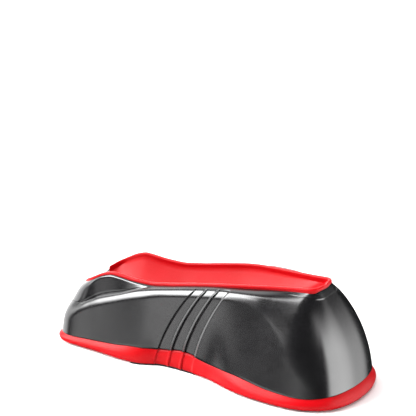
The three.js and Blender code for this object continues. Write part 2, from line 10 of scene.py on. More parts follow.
import bmesh
import bpy
import numpy as np
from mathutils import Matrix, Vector


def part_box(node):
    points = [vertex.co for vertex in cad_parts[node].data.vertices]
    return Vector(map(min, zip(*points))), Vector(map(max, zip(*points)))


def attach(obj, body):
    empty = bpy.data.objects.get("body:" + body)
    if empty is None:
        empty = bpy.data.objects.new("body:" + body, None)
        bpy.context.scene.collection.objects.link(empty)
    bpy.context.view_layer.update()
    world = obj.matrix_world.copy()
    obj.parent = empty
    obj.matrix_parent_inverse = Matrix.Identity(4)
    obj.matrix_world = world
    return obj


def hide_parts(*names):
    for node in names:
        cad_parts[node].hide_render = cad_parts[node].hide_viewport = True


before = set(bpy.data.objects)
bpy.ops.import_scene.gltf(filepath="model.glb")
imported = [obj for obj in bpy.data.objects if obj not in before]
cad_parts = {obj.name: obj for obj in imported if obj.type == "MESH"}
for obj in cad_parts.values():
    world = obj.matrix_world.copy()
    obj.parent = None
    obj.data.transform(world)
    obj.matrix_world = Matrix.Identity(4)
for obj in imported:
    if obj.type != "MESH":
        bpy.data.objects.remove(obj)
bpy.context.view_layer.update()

MM = 0.001

# Block and the wheel that it carries
HALF_LENGTH = 165.0
HALF_WIDTH = 64.0
CROWN = 105.6
TYRE_RADIUS = 339.0
TYRE_TUBE = 14.0
SEAT_HEIGHT = 39.0
AXLE_SETBACK = 82.5
AXLE_HEIGHT = SEAT_HEIGHT + TYRE_RADIUS
SEAT_ROOM = 0.9
TYRE_ROOM = 0.5
TYRE_ROOM_START = 99.0
FAR_ABOVE = 1000.0

# Casing
WALL = 2.8
WALL_LEAN = 5.0
SKIRT_FOOT = 6.3
STEP_EDGE = 0.45
STEP_EDGE_MIDDLE = 0.13
DOME_SOFTNESS = 53.0
LEDGE_SOFTNESS_SHARE = 0.88
LEDGE_LIMIT_SHARE = 0.9
BEND_CLEARANCE = 2.0
RIDGE_START = (-0.75, -0.62)
RIDGE_END = (0.4, 0.52)

# Crease at the foot of the cheek, and the cheek beside the channel with its hump at the low end
CREASE_SOFTNESS = 0.8
CREASE_LIMIT_SHARE = 0.85
CREASE_GROOVE = 1.6
GROOVE_DROPS = (1, 7)
CHEEK_RUN = 4.8
REAR_CHEEK_RUN = 20.5
CHEEK_SOFTNESS = (1.0, 14.0)
FACE_LIMIT_SHARES = (0.3, 0.6)
HUMP_REAR = -133.7
HUMP_RADIUS = 17.2
HUMP_BULGE = (0.45, 0.965)
SIDE_BULGE = (0.72, 0.73)
REAR_BULGE = (0.5, 0.85)
HUMP_END = (-75, -45)
STEEP_DROP = 8.0
MOUTH_TRIM = 0.6

# Cradle
CRADLE_HALF = 31.5
CRADLE_FRONT_HALF = 18.5
NARROW = (15.0, 118.0)
CRADLE_THICKNESS = 3.6
CRADLE_CORNER = 10.6
CRADLE_FRONT = 120.2
CRADLE_REAR = -142.56
CORNER_X = CRADLE_FRONT - CRADLE_CORNER
LIP_HEIGHTS = (2.6, 4.4)
LIP_ROUND = 1.55
HIP_DEPTH = 2.0
SHALLOWEST = 1.5
BOWL_POWER = 2.2
RIM_SINK = 2.5
RIM_SINK_LENGTH = 10.0
REAR_BOW = 3.0
BOW_LENGTH = 38.0
REAR_TAPER = 9.0
TAPER_LENGTH = 18.0

# Band: its edges are pairs of inset and rise
FOOT_HEIGHT = 2.0
FLARE_HEIGHT = 5.0
BAND_FLARE = 2.8
FLARE_INSET = 0.66
UNDERCUT = 1.5
UNDERCUT_SHARE = 0.75
FOOT_EDGE = ((0.7, 0), (0.15, 0.15))
FOOT_ROUND = 0.7
KNEE_DROP = 0.6
SWELL = (0.02, 0.9)
BAND_TOP_EDGE = ((0.12, -0.1), (0.42, 0))
BAND_SHOULDER = 0.4
BAND_THICKNESS = 2.2
FLANGE_TOP = 6.0
FLANGE_WIDTH = 13.0

# Flutes
FLUTE_LINES = 4
FLUTE_START = -41.5
FLUTE_PITCH = 14.3
FLUTE_SPAN = 43.3
FLUTE_MARGIN = 1.0
FLUTE_SWEEP = 37.0
FLUTE_TOP = 81.0
FLUTE_TOP_STEP = 3.7
FLUTE_POWER = 1.65
SWEEP_BEGINS = (-108, -48)
SWEEP_ENDS = (6, 98)
STEP_FLUTE_SHARE = 0.6
FOOT_FLUTE_SHARE = 0.5
LEDGE_FLUTE_SHARE = 0.3
SHOULDER_FADE = (0.3, 1)
LEDGE_FADE = (0, 0.9)

# Fasteners, clearances and cuts
SCREW_DIAMETER = 3.4
SCREW_HEAD_DIAMETER = 7.2
SCREW_HEAD_HEIGHT = 2.4
BAND_SCREW_LENGTH = 16.0
PILOT_DIAMETER = 4.0
BOSS_DIAMETER = 9.0
BOSS_HEIGHT = 22.0
STUD_DIAMETER = 9.0
STUD_LENGTH = 8.0
HOLE_ROOM = 0.4
GAP = 0.3
FOOT_SEAT_GROWTH = 0.36
OVERRUN = 20.0

# Fineness of the meshes
OUTLINE_POINTS = 4096
OUTLINE_SPAN_POINTS = 200
OUTLINE_SOFTNESS = 3.2
COLUMN_STEP = 2.2
FLUTE_STEP = 0.26
FLUTE_FINE = (-4.2, 2.4)
FLUTE_PLAIN = (3.2, -5.0)
FLUTE_PLAIN_COLUMNS = 4
SHEAR_ROUNDS = 8
WALL_STEPS = 26
UPPER_STEPS = (22, 12, 8, 8, 10)
BAND_KNEE_STEPS = 6
BAND_FACE_STEPS = 12
HOLLOW_COLUMNS = 120
HOLLOW_STEPS = (10, 3, 3, 2, 4)
BOWL_STATIONS = 90
BOWL_CORNER_STATIONS = 13
BOWL_POINTS = 25
REAR_ZONE = 20.0
REAR_ZONE_SECTIONS = 24
SIDE_SECTIONS = 130
CORNER_SECTIONS = 18
FRONT_SECTIONS = 8
KEEL_POINTS = 22
SIDE_POINTS = 5
LIP_POINTS = 8
SEGMENTS = 40
WELD = 0.00001
CRADLE_WELD = 0.00002
DEGENERATE = 1e-7
TINY = 1e-6
TINY_AREA = 1e-12
SMOOTH_ANGLE = 35

# Outline of the foot, as shares of its half length and half width
FOOT_OUTLINE = [
    (-1, 0), (-0.992, 0.49), (-0.964, 0.716), (-0.909, 0.812), (-0.694, 0.845), (-0.435, 0.899),
    (-0.336, 0.866), (-0.237, 0.739), (-0.077, 0.717), (0.108, 0.768), (0.281, 0.915), (0.447, 1),
    (0.694, 1), (0.798, 0.931), (0.928, 0.696), (0.986, 0.343), (1, 0),
]

# Tables along the block: the place is a share of the half length, and a height one of the crown
LIP_TOP = [
    (-0.921, 0.462), (-0.894, 0.515), (-0.876, 0.567), (-0.815, 0.612), (-0.767, 0.653),
    (-0.658, 0.742), (-0.603, 0.763), (-0.548, 0.759), (-0.452, 0.749), (-0.355, 0.75),
    (-0.233, 0.78), (-0.039, 0.845), (0.155, 0.903), (0.348, 0.94), (0.542, 0.972), (0.72, 1),
]
CHEEK_DROP = [
    (-0.833, 0.22), (-0.785, 0.22), (-0.74, 0.195), (-0.712, 0.178), (-0.636, 0.175),
    (-0.542, 0.129), (-0.452, 0.065), (-0.361, 0.019), (-0.285, 0),
]
SHOULDER = [
    (-1, 0.302), (-0.9, 0.322), (-0.798, 0.431), (-0.644, 0.536), (-0.533, 0.606), (-0.422, 0.67),
    (-0.28, 0.727), (-0.132, 0.774), (-0.022, 0.809), (0.108, 0.85), (0.2, 0.876), (0.3, 0.893),
    (0.4, 0.9), (0.5, 0.886), (0.6, 0.84), (0.7, 0.768), (0.8, 0.68), (1, 0.514),
]
BAND_TOP = [
    (-1, 0.085), (-0.9, 0.088), (-0.724, 0.104), (-0.539, 0.131), (-0.367, 0.164), (-0.227, 0.163),
    (-0.07, 0.197), (0.118, 0.159), (0.318, 0.163), (0.56, 0.127), (0.785, 0.114), (0.955, 0.142),
    (1, 0.156),
]
# Share of the wall's lean, the ridge's distance from the wheel's plane, and shares of the dome's
# softness, of the band's flare and of the way from the rear to the front height of the lip
LEAN = [
    (-1, 0.84), (-0.798, 0.9), (-0.422, 1.3), (-0.28, 0.7), (-0.132, 0.45), (-0.022, 0.6),
    (0.132, 1), (0.4, 3.6), (0.5, 4.0), (0.6, 3.5), (0.7, 2.5), (0.8, 1.7), (1, 1.25),
]
RIDGE = [
    (-0.75, 47.0), (-0.6, 46.6), (-0.45, 45.8), (-0.3, 44.8), (-0.18, 43.6), (-0.077, 43.1),
    (0, 43.2), (0.108, 43.4), (0.2, 43.2), (0.3, 42.6), (0.4, 41.8), (0.5, 41.5), (0.6, 42),
]
SOFTNESS = [
    (-1, 0.27), (-0.94, 0.22), (-0.86, 0.16), (-0.28, 0.145), (-0.022, 0.145), (0.132, 0.15),
    (0.3, 0.155), (0.4, 0.18), (0.5, 0.29), (0.6, 0.53), (0.7, 0.76), (0.8, 0.9), (1, 0.973),
]
FLARE = [(-1, 1), (-0.6, 0.9), (-0.3, 0.5), (0, 0.45), (0.35, 0.8), (0.7, 1)]
LIP_GROWTH = [(0.1, 0), (0.6, 0.6), (0.75, 1)]

# Depth across the flutes, as (distance from the first line, depth): each line is a narrow drop, and
# after it comes a flat floor, then a slow rise to the next line
FLUTE_DEPTHS = [
    (-0.6, 0), (-0.3, 0.1), (0.2, 1.3), (0.6, 1.5), (1.1, 1.25), (2.0, 1.1), (6, 1.05),
    (10.2, 1.05), (10.9, 0.98), (13.1, 0.1), (13.5, 0), (13.9, 0), (14.1, 0.1), (14.6, 1.5),
    (15.0, 1.65), (15.5, 1.3), (16.4, 1.12), (20.5, 1.05), (24.5, 1.05), (25.2, 0.98), (27.4, 0.1),
    (27.8, 0), (28.2, 0), (28.4, 0.1), (28.9, 1.6), (29.3, 1.75), (29.8, 1.35), (30.8, 1.12),
    (35.5, 1.05), (39.2, 1.05), (39.9, 0.98), (42.6, 0.1), (43.2, 0),
]


# Curves

def along(pairs, place):
    """Smooth value without overshoot of a table of (place, value) pairs."""
    xs, ys = np.array(pairs, float).T
    slope = np.diff(ys) / np.diff(xs)
    before, after = slope[:-1], slope[1:]
    both = before + after
    inner = np.where(before * after <= 0, 0, 2 * before * after / np.where(both == 0, 1, both))
    tangent = np.concatenate([slope[:1], inner, slope[-1:]])
    p = np.clip(place, xs[0], xs[-1])
    i = np.clip(np.searchsorted(xs, p, side="right") - 1, 0, len(xs) - 2)
    h = xs[i + 1] - xs[i]
    t = (p - xs[i]) / h
    base = ys[i] + (ys[i + 1] - ys[i]) * t * t * (3 - 2 * t)
    return base + t * (1 - t) * h * (tangent[i] * (1 - t) - tangent[i + 1] * t)


TABLE_PLACES = np.linspace(-1.1, 1.1, 2201)
BLUR_OFFSETS = np.linspace(-2.5, 2.5, 21)


def soft_table(pairs, blur):
    """The same curve with its kinks in curvature blurred away, as a function."""
    weights = np.exp(-BLUR_OFFSETS ** 2 / 2)
    values = sum(
        w * along(pairs, TABLE_PLACES + o * blur) for w, o in zip(weights, BLUR_OFFSETS))
    values = values / weights.sum()
    return lambda place: np.interp(place, TABLE_PLACES, values)


lip_share = soft_table(LIP_TOP, 0.006)
drop_share = soft_table(CHEEK_DROP, 0.012)
shoulder_share = soft_table(SHOULDER, 0.03)
lean_share = soft_table(LEAN, 0.03)
ridge_half = soft_table(RIDGE, 0.02)
softness_share = soft_table(SOFTNESS, 0.03)
band_share = soft_table(BAND_TOP, 0.015)
flare_share = soft_table(FLARE, 0.03)
growth_share = soft_table(LIP_GROWTH, 0.02)


def smoothstep(x, low, high):
    t = np.clip((x - low) / (high - low), 0, 1)
    return t * t * (3 - 2 * t)


def mix(a, b, t):
    return a + (b - a) * t


def lip_top(x):
    return CROWN * lip_share(x / HALF_LENGTH)


def rim_top(x):
    """Top of the cradle's rim, which sinks towards its open end."""
    sink = 1 - smoothstep(x, CRADLE_REAR, CRADLE_REAR + RIM_SINK_LENGTH)
    return lip_top(x) - RIM_SINK * sink


def lip_height(x):
    return mix(*LIP_HEIGHTS, growth_share(x / HALF_LENGTH))


def band_top(x):
    return CROWN * band_share(x / HALF_LENGTH)


def cradle_half(x):
    return mix(CRADLE_HALF, CRADLE_FRONT_HALF, smoothstep(x, *NARROW))


def rear_taper(x):
    return REAR_TAPER * np.clip((CRADLE_REAR + TAPER_LENGTH - x) / TAPER_LENGTH, 0, 1) ** 2


def rear_bow(x, out):
    return REAR_BOW * np.clip(1 - (x - CRADLE_REAR) / BOW_LENGTH, 0, 1) * out ** 2


def tyre_underside(x):
    return AXLE_HEIGHT - np.sqrt(TYRE_RADIUS ** 2 - (x + AXLE_SETBACK) ** 2)


def foot_outline():
    """Near half of the foot as arrays of way, x and y: a closed centripetal curve, softened."""
    long = HALF_LENGTH - BAND_FLARE
    wide = HALF_WIDTH - BAND_FLARE
    near = [np.array([x * long, -y * wide]) for x, y in FOOT_OUTLINE]
    ring = near + [p * (1, -1) for p in near[-2:0:-1]]
    w = np.linspace(0, 1, OUTLINE_SPAN_POINTS, endpoint=False)[:, None]
    spans = []
    for i in range(len(ring)):
        p0, p1, p2, p3 = (ring[(i + k) % len(ring)] for k in (-1, 0, 1, 2))
        d0, d1, d2 = (np.linalg.norm(b - a) ** 0.5 for a, b in ((p0, p1), (p1, p2), (p2, p3)))
        t1 = ((p1 - p0) / d0 - (p2 - p0) / (d0 + d1) + (p2 - p1) / d1) * d1
        t2 = ((p2 - p1) / d1 - (p3 - p1) / (d1 + d2) + (p3 - p2) / d2) * d1
        square = (-3 * p1 + 3 * p2 - 2 * t1 - t2) * w ** 2
        cube = (2 * p1 - 2 * p2 + t1 + t2) * w ** 3
        spans.append(p1 + t1 * w + square + cube)
    dense = np.concatenate(spans)
    closed = np.vstack([dense, dense[:1]])
    steps = np.linalg.norm(np.diff(closed, axis=0), axis=1)
    way = np.concatenate([[0], np.cumsum(steps)])
    even = np.linspace(0, way[-1], OUTLINE_POINTS, endpoint=False)
    curve = np.interp(even, way, closed[:, 0]) + 1j * np.interp(even, way, closed[:, 1])
    waves = np.fft.fftfreq(OUTLINE_POINTS, way[-1] / OUTLINE_POINTS) * 2 * math.pi
    curve = np.fft.ifft(np.fft.fft(curve) * np.exp(-(OUTLINE_SOFTNESS * waves) ** 2 / 2))
    half = slice(0, OUTLINE_POINTS // 2 + 1)
    y = curve.imag[half].copy()
    y[0] = y[-1] = 0
    return even[half], curve.real[half], y


WAY, FOOT_X, FOOT_Y = foot_outline()
WAY_END = WAY[-1]


# Profiles of the columns

def column(way):
    """The columns that stand on the foot outline: arrays of any shape, one entry per column."""
    foot_x = np.interp(way, WAY, FOOT_X)
    foot_y = np.interp(way, WAY, FOOT_Y)
    radius = np.where(foot_x < 0, HUMP_RADIUS, CRADLE_CORNER)
    rear_core = HUMP_REAR + radius
    front_core = CRADLE_FRONT + GAP - MOUTH_TRIM - radius
    core_x = np.clip(foot_x, rear_core, front_core)
    side = cradle_half(core_x) + GAP - MOUTH_TRIM
    fanned = (foot_x <= rear_core) | (foot_x >= front_core)
    core_y = np.where(fanned, np.maximum(foot_y, radius - side), -side)
    dx, dy = foot_x - core_x, foot_y - core_y
    far = np.hypot(dx, dy)
    mouth_x = np.where(fanned, core_x + dx / far * radius, core_x)
    mouth_y = np.where(fanned, core_y + dy / far * radius, -side)
    reach = np.hypot(mouth_x - foot_x, mouth_y - foot_y)

    share = foot_x / (HALF_LENGTH - BAND_FLARE)
    ridged = smoothstep(share, *RIDGE_START) * (1 - smoothstep(share, *RIDGE_END))
    to_ridge = np.abs(foot_y) - ridge_half(share)
    lean = mix(WALL_LEAN * lean_share(share), to_ridge, ridged)
    shoulder = CROWN * shoulder_share(share)

    rear = smoothstep(HUMP_REAR + HUMP_RADIUS - mouth_x, 0, HUMP_RADIUS)
    ahead = smoothstep(mouth_x, *HUMP_END)
    run = mix(CHEEK_RUN, REAR_CHEEK_RUN, rear)
    seam = lip_top(mouth_x) - lip_height(mouth_x)
    straight_drop = run * (seam - shoulder) / (reach - lean)
    drop = np.maximum(CROWN * drop_share(mouth_x / HALF_LENGTH), straight_drop)
    bulge_in, bulge_up = (
        mix(mix(hump, beside, ahead), end, rear)
        for hump, beside, end in zip(HUMP_BULGE, SIDE_BULGE, REAR_BULGE)
    )
    bulge_in = bulge_in * mix(np.minimum(drop / STEEP_DROP, 1), 1, np.maximum(ahead, rear))
    edge = seam + MOUTH_TRIM * drop * (1 - bulge_up) / (run * (1 - bulge_in))
    return {
        "x": foot_x, "y": foot_y, "reach": reach,
        "ix": (mouth_x - foot_x) / reach, "iy": (mouth_y - foot_y) / reach,
        "lean": lean, "shoulder": shoulder, "soft": DOME_SOFTNESS * softness_share(share),
        "run": run, "drop": drop, "edge": edge, "crease": edge - drop,
        "rear": rear, "bulge_in": bulge_in, "bulge_up": bulge_up,
        "flare": BAND_FLARE * flare_share(share), "band": band_top(foot_x),
    }


def wall_inset(col, height):
    return col["lean"] * height / col["shoulder"]


def on_wall(height_of, inset=0.0, rise=0.0):
    """Place on the wall's line at a height, moved inwards and upwards."""
    def place(col):
        height = height_of(col)
        return wall_inset(col, height) + inset, height + rise
    return place


def between(a, b, t):
    return tuple(mix(a[k], b[k], t) for k in (0, 1))


def moved(point, direction, distance):
    length = np.hypot(*direction)
    return tuple(point[k] + direction[k] / length * distance for k in (0, 1))


def bezier(a, b, c, t):
    return [(1 - t) ** 2 * a[k] + 2 * t * (1 - t) * b[k] + t * t * c[k] for k in (0, 1)]


def upper_corners(col, depth):
    """Corner points of the profile above the wall, at a depth inside the casing."""
    corner = (col["lean"] + depth, col["shoulder"] - depth)
    crease = (col["reach"] - col["run"] + depth, col["crease"] - depth)
    mouth = (col["reach"] + depth, col["edge"] - depth)

    wall = (col["lean"], col["shoulder"])
    ledge = (crease[0] - corner[0], crease[1] - corner[1])
    ledge_length = np.hypot(*ledge)
    free = 1 - (col["band"] + BEND_CLEARANCE) / col["shoulder"]
    down_wall = np.minimum(col["soft"], np.hypot(*wall) * free)
    up_ledge = np.minimum(col["soft"] * LEDGE_SOFTNESS_SHARE, ledge_length * LEDGE_LIMIT_SHARE)
    back = np.minimum(CREASE_SOFTNESS, (ledge_length - up_ledge) * CREASE_LIMIT_SHARE)
    start = moved(corner, wall, -down_wall)
    end = moved(corner, ledge, up_ledge)
    before = moved(crease, ledge, -back)

    top = (
        mix(crease[0], mouth[0], col["bulge_in"]),
        mix(crease[1], mouth[1], col["bulge_up"]),
    )
    face_length = np.maximum(np.hypot(top[0] - crease[0], top[1] - crease[1]), TINY)
    softness = mix(*CHEEK_SOFTNESS, col["rear"])
    low_limit, high_limit = FACE_LIMIT_SHARES
    after = between(crease, top, np.minimum(CREASE_SOFTNESS / face_length, low_limit))
    below = between(crease, top, 1 - np.minimum(softness / face_length, high_limit))
    if depth == 0:
        groove = CREASE_GROOVE * smoothstep(col["drop"], *GROOVE_DROPS)
        crease = (crease[0] + groove / 2, crease[1] - groove)
    return start, corner, end, before, crease, after, below, top, mouth


def upper_levels(steps):
    """Names of the levels above the wall, with the number of steps in each stretch given."""
    stretches = ("shoulder", "ledge", "crease", "face", "cheek")
    levels = [(stretches[0], 0.0)]
    for stretch, count in zip(stretches, steps):
        levels += [(stretch, t) for t in np.linspace(0, 1, count + 1)[1:]]
    return levels


def upper_point(col, level, depth=0.0):
    stretch, t = level
    start, corner, end, before, crease, after, below, top, mouth = upper_corners(col, depth)
    if stretch == "shoulder":
        return bezier(start, corner, end, t)
    if stretch == "ledge":
        return between(end, before, t)
    if stretch == "crease":
        return bezier(before, crease, after, t)
    if stretch == "face":
        return between(after, below, t)
    return bezier(below, top, mouth, t)


# Flutes and the grid of columns

def flute_shift(x, height):
    """How far a flute's line that starts at x has swept towards the dome at a height."""
    line = np.clip((x - FLUTE_START) / FLUTE_PITCH, 0, FLUTE_LINES - 1)
    climb = np.maximum(height, 0) / (FLUTE_TOP + line * FLUTE_TOP_STEP)
    spread = smoothstep(x, *SWEEP_BEGINS) * (1 - smoothstep(x, *SWEEP_ENDS))
    return spread * FLUTE_SWEEP * climb ** FLUTE_POWER


def sheared_ways(ways, height_of):
    """Ways round the foot that follow the flutes' sweep, for a level at the given height."""
    base_x = np.interp(ways, WAY, FOOT_X)
    out = ways.copy()
    for _ in range(SHEAR_ROUNDS):
        shift = flute_shift(base_x, height_of(column(out)))
        out = np.where(shift > TINY, np.interp(base_x + shift, FOOT_X, WAY), ways)
    return out


def skin_ways():
    """Ways of the columns: coarse all round, and fine across each line of the flutes."""
    first, last = FLUTE_START - FLUTE_MARGIN, FLUTE_START + FLUTE_SPAN
    low, high = np.interp([first, last], FOOT_X, WAY)
    coarse = np.linspace(0, WAY_END, int(WAY_END / COLUMN_STEP) + 1)
    ways = [way for way in coarse if not low <= way <= high]
    xs = []
    for line in range(FLUTE_LINES):
        centre = FLUTE_START + line * FLUTE_PITCH
        xs += list(np.arange(centre + FLUTE_FINE[0], centre + FLUTE_FINE[1], FLUTE_STEP))
        if line < FLUTE_LINES - 1:
            start, end = centre + FLUTE_PLAIN[0], centre + FLUTE_PITCH + FLUTE_PLAIN[1]
            xs += list(np.linspace(start, end, FLUTE_PLAIN_COLUMNS))
    ways += list(np.interp([x for x in xs if first <= x <= last], FOOT_X, WAY))
    return np.array(sorted(ways))


SKIN_WAYS = skin_ways()


def grid_points(ways, levels):
    """Points of a skin, from levels of (function of a column to a place, share of the flutes)."""
    rows, fades = [], []
    for place, fade in levels:
        col = column(sheared_ways(ways, lambda col: place(col)[1]))
        inset, height = place(col)
        x = col["x"] + col["ix"] * inset
        y = col["y"] + col["iy"] * inset
        rows.append(np.stack([x, y, height + 0 * x], -1))
        fades.append(fade)
    points = np.array(rows)
    from_first = np.interp(ways, WAY, FOOT_X) - FLUTE_START
    depth = np.array(fades)[:, None] * along(FLUTE_DEPTHS, from_first)[None, :]
    normal = np.cross(np.gradient(points, axis=1), np.gradient(points, axis=0))
    length = np.linalg.norm(normal, axis=-1, keepdims=True)
    normal = normal / np.where(length < TINY_AREA, 1, length)
    inward = np.where(normal[..., 1:2] > 0, 1, -1)
    return points + normal * inward * depth[..., None]


# Meshes

def linked(obj):
    bpy.context.scene.collection.objects.link(obj)
    return obj


def mesh_object(name, verts, faces):
    mesh = bpy.data.meshes.new(name)
    places = [tuple(v) for v in np.asarray(verts) * MM]
    mesh.from_pydata(places, [], [tuple(int(i) for i in face) for face in faces])
    mesh.update()
    return linked(bpy.data.objects.new(name, mesh))


def weld(obj, distance=WELD):
    """Merges points that meet and turns all faces outwards."""
    bm = bmesh.new()
    bm.from_mesh(obj.data)
    bmesh.ops.remove_doubles(bm, verts=bm.verts, dist=distance)
    bmesh.ops.dissolve_degenerate(bm, dist=DEGENERATE, edges=bm.edges)
    bmesh.ops.recalc_face_normals(bm, faces=bm.faces)
    bm.to_mesh(obj.data)
    bm.free()
    obj.data.update()
    return obj


def packed_copy(name, node):
    """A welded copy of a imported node's mesh, under a name of its own."""
    return weld(linked(bpy.data.objects.new(name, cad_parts[node].data.copy())))


def mirrored(near):
    """A ring from its near half, whose first and last points lie in the wheel's plane."""
    return np.concatenate([near, near[-2:0:-1] * (1, -1, 1)])


def skin(name, rings, looped=False):
    """Closed solid from rings of points with one count; the ends are closed from side to side."""
    count = len(rings[0])
    faces = []
    for r in range(len(rings) if looped else len(rings) - 1):
        a, b = r * count, ((r + 1) % len(rings)) * count
        for i in range(count):
            j = (i + 1) % count
            faces.append((a + i, a + j, b + j, b + i))
    if not looped:
        for start in (0, (len(rings) - 1) * count):
            for i in range(count // 2):
                p, q = start + (count - i) % count, start + (count - i - 1) % count
                corners = tuple(dict.fromkeys((start + i, start + i + 1, q, p)))
                if len(corners) > 2:
                    faces.append(corners)
    return weld(mesh_object(name, np.concatenate(rings), faces))


def column_skin(name, ways, levels, looped=False):
    return skin(name, [mirrored(row) for row in grid_points(ways, levels)], looped)


def cylinder(name, diameter, bottom, top, x, y):
    turn = np.linspace(0, 2 * math.pi, SEGMENTS, endpoint=False)
    ring = np.stack([
        x + diameter / 2 * np.cos(turn), y + diameter / 2 * np.sin(turn), 0 * turn], -1)
    faces = []
    for i in range(SEGMENTS):
        j = (i + 1) % SEGMENTS
        faces.append((i, j, SEGMENTS + j, SEGMENTS + i))
    faces += [tuple(range(SEGMENTS))[::-1], tuple(range(SEGMENTS, 2 * SEGMENTS))]
    return mesh_object(name, np.concatenate([ring + (0, 0, bottom), ring + (0, 0, top)]), faces)


def combine(target, others, operation):
    """Booleans applied at once; the other objects are used up."""
    for other in others:
        modifier = target.modifiers.new("cut", "BOOLEAN")
        modifier.operation = operation
        modifier.solver = "MANIFOLD"
        modifier.object = other
        evaluated = target.evaluated_get(bpy.context.evaluated_depsgraph_get())
        done = bpy.data.meshes.new_from_object(evaluated)
        target.modifiers.clear()
        target.data = done
        bpy.data.objects.remove(other)
    return target


def shade(obj):
    obj.data.shade_smooth()
    obj.data.set_sharp_from_angle(angle=math.radians(SMOOTH_ANGLE))


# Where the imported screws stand

def packed_middle(node):
    low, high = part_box(node)
    return (low.x + high.x) / 2 / MM, (low.y + high.y) / 2 / MM


def stud_foot(x):
    """Height of the lower end of the cradle's stud at x."""
    return float(tyre_underside(x)) - SEAT_ROOM - CRADLE_THICKNESS - STUD_LENGTH


BAND_SCREWS = [packed_middle(f"band_screw_{k + 1}") for k in range(6)]
STUDS = [(x, stud_foot(x)) for x, _ in (packed_middle(f"cradle_screw_{k + 1}") for k in range(4))]


# Casing

def casing_outside():
    inset = BAND_THICKNESS + GAP

    def skirt(col):
        return SKIRT_FOOT

    def step(col):
        return col["band"] + GAP

    def wall_foot(col):
        return step(col) + STEP_EDGE

    def wall_height(share):
        return lambda col: mix(wall_foot(col), upper_corners(col, 0)[0][1], share)

    levels = [
        (on_wall(skirt, inset), 0),
        (on_wall(step, inset), 0),
        (on_wall(step, inset / 2), STEP_FLUTE_SHARE),
        (on_wall(step, STEP_EDGE), 1),
        (on_wall(step, STEP_EDGE_MIDDLE, STEP_EDGE_MIDDLE), 1),
        (on_wall(wall_foot), 1),
    ]
    for share in np.linspace(0, 1, WALL_STEPS + 1)[1:-1]:
        levels.append((on_wall(wall_height(share)), 1))
    for level in upper_levels(UPPER_STEPS):
        stretch, t = level
        fade = 0
        if stretch == "shoulder":
            fade = mix(1, LEDGE_FLUTE_SHARE, smoothstep(t, *SHOULDER_FADE))
        elif stretch == "ledge":
            fade = LEDGE_FLUTE_SHARE * (1 - smoothstep(t, *LEDGE_FADE))
        levels.append((lambda col, level=level: upper_point(col, level), fade))
    return column_skin("casing_skin", SKIN_WAYS, levels)


def casing_hollow(room=0.0):
    """The room inside the casing's wall, less a margin, open below."""
    inset = BAND_THICKNESS + GAP + WALL + room
    levels = [
        (lambda col: (wall_inset(col, SKIRT_FOOT) + inset, -OVERRUN), 0),
        (on_wall(lambda col: SKIRT_FOOT, inset), 0),
    ]
    for level in upper_levels(HOLLOW_STEPS):
        levels.append((lambda col, level=level: upper_point(col, level, WALL + room), 0))
    return column_skin("hollow", np.linspace(0, WAY_END, HOLLOW_COLUMNS), levels)


def trough_height(x, out, growth):
    """Height of the cradle's form at a share of the way out to its side, grown outwards."""
    keel = tyre_underside(x) - SEAT_ROOM - CRADLE_THICKNESS - growth
    hip = lip_top(x) - lip_height(x) - HIP_DEPTH
    return keel + np.maximum(hip - keel, SHALLOWEST) * out ** BOWL_POWER


def bowl(growth):
    """A solid of the cradle's outside form, grown outwards and open to the rear and the top."""
    along_side = np.linspace(CRADLE_REAR, CORNER_X, BOWL_STATIONS, endpoint=False)
    stations = [
        (x, cradle_half(x) + growth - rear_taper(x))
        for x in [CRADLE_REAR - OVERRUN, *along_side]
    ]
    side = cradle_half(CORNER_X) + growth
    radius = CRADLE_CORNER + growth
    for turn in np.linspace(0, math.pi / 2, BOWL_CORNER_STATIONS):
        x = CORNER_X + radius * math.sin(turn)
        stations.append((x, side - radius * (1 - math.cos(turn))))
    out = np.linspace(0, 1, BOWL_POINTS)
    high = CROWN + OVERRUN
    rings = []
    for x, half in stations:
        bowed = x + rear_bow(x, out)
        form = np.stack([bowed, -out * half, trough_height(bowed, out, growth)], -1)
        rings.append(mirrored(np.concatenate([form, [[bowed[-1], -half, high], [x, 0, high]]])))
    return skin("bowl", rings)


def make_casing():
    bosses = [
        cylinder("boss", BOSS_DIAMETER, SKIRT_FOOT, SKIRT_FOOT + BOSS_HEIGHT, x, y)
        for x, y in BAND_SCREWS
    ]
    hollow = combine(casing_hollow(), [bowl(GAP + WALL)] + bosses, "DIFFERENCE")
    casing = combine(casing_outside(), [hollow, bowl(GAP)], "DIFFERENCE")
    pilots = [
        cylinder("pilot", PILOT_DIAMETER, 0, SKIRT_FOOT + BAND_SCREW_LENGTH, x, y)
        for x, y in BAND_SCREWS
    ]
    holes = [
        cylinder("hole", STUD_DIAMETER + 2 * GAP, z - OVERRUN, z + OVERRUN, x, 0)
        for x, z in STUDS
    ]
    return combine(casing, pilots + holes, "DIFFERENCE")


def make_frame():
    """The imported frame, trimmed to the room inside the casing's wall."""
    return combine(
        packed_copy("ribbed_frame", "support_frame"), [casing_hollow(GAP)], "INTERSECT")


# Cradle

